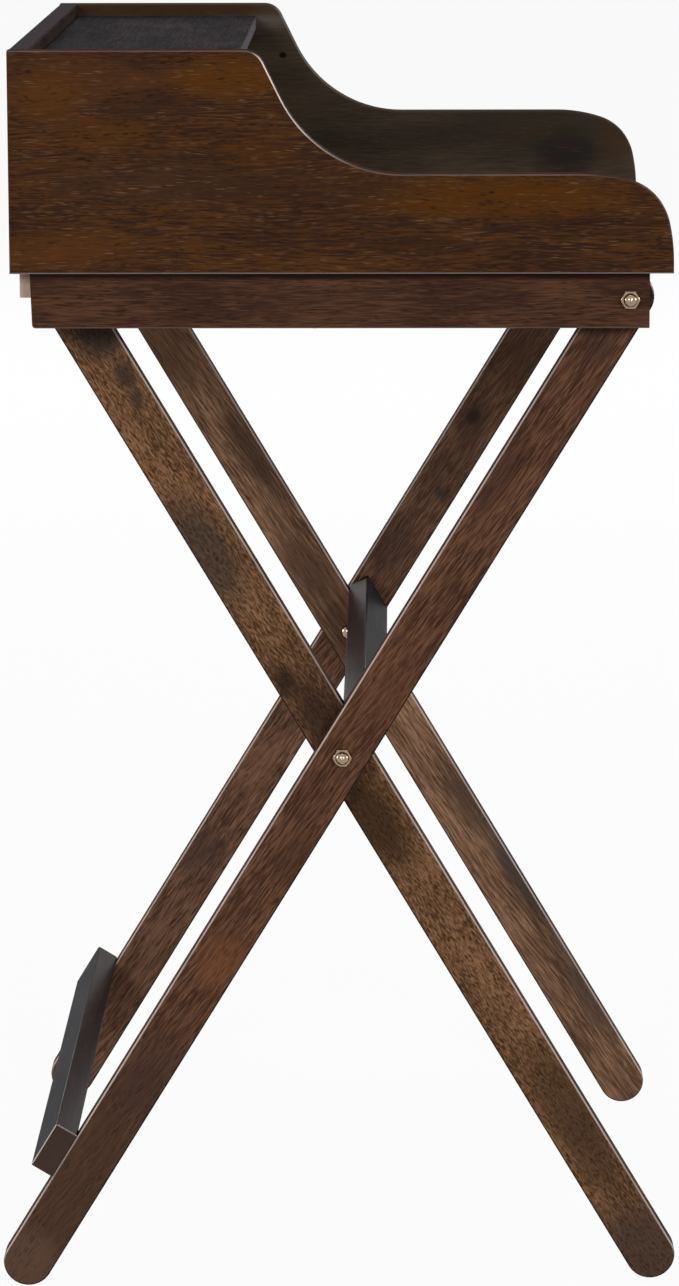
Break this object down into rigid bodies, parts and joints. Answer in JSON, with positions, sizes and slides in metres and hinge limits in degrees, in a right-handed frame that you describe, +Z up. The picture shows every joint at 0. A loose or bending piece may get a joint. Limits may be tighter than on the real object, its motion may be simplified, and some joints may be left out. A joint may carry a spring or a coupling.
{
  "type": "folding tray table",
  "caption": "Folding wooden writing tray table with S-curved sides, a raised back shelf and crossed bolted legs that fold flat as the tray swings up.",
  "frame": {"origin": "on the floor, in the middle of the footprint of the open table", "axes": "+X to the right of the person sitting at it, +Y to the back, +Z up"},
  "size_m": [0.6108, 0.52, 0.9535],
  "materials": {
    "stained_wood": "dark walnut stain under satin lacquer",
    "dowel_wood": "plain fluted hardwood",
    "zinc_steel": "zinc-plated steel",
    "nickel_plate": "warm bright nickel plate"
  },
  "bodies": {
    "outer_leg_frame": {"left_outer_leg": "stained_wood", "right_outer_leg": "stained_wood", "lower_stretcher": "stained_wood", "lower_stretcher_dowels": "dowel_wood", "cross_bolts": "nickel_plate", "cross_cap_nuts": "nickel_plate", "cross_washers": "zinc_steel"},
    "tray": {"left_side_panel": "stained_wood", "right_side_panel": "stained_wood", "back_panel": "stained_wood", "desk_board": "stained_wood", "upper_shelf": "stained_wood", "left_rail": "stained_wood", "right_rail": "stained_wood", "rear_cleat": "stained_wood", "desk_dowels": "dowel_wood", "shelf_dowels": "dowel_wood", "back_dowels": "dowel_wood", "pivot_bolts": "zinc_steel", "pivot_cap_nuts": "nickel_plate", "pivot_washers": "zinc_steel"},
    "inner_leg_frame": {"left_inner_leg": "stained_wood", "right_inner_leg": "stained_wood", "middle_stretcher": "stained_wood", "middle_stretcher_dowels": "dowel_wood"}
  },
  "joints": [
    {"name": "tray_swing", "type": "hinge", "parent": "outer_leg_frame", "child": "tray", "pos_m": [0, -0.21699, 0.76941], "axis": [1, 0, 0], "range_deg": [0, 118.65]},
    {"name": "leg_fold", "type": "hinge", "parent": "outer_leg_frame", "child": "inner_leg_frame", "pos_m": [0, -0.00285, 0.4186], "axis": [1, 0, 0], "range_deg": [0, 61.7]}
  ],
  "couplings": [
    {"joint": "leg_fold", "follows": "tray_swing", "ratio": 0.52}
  ]
}
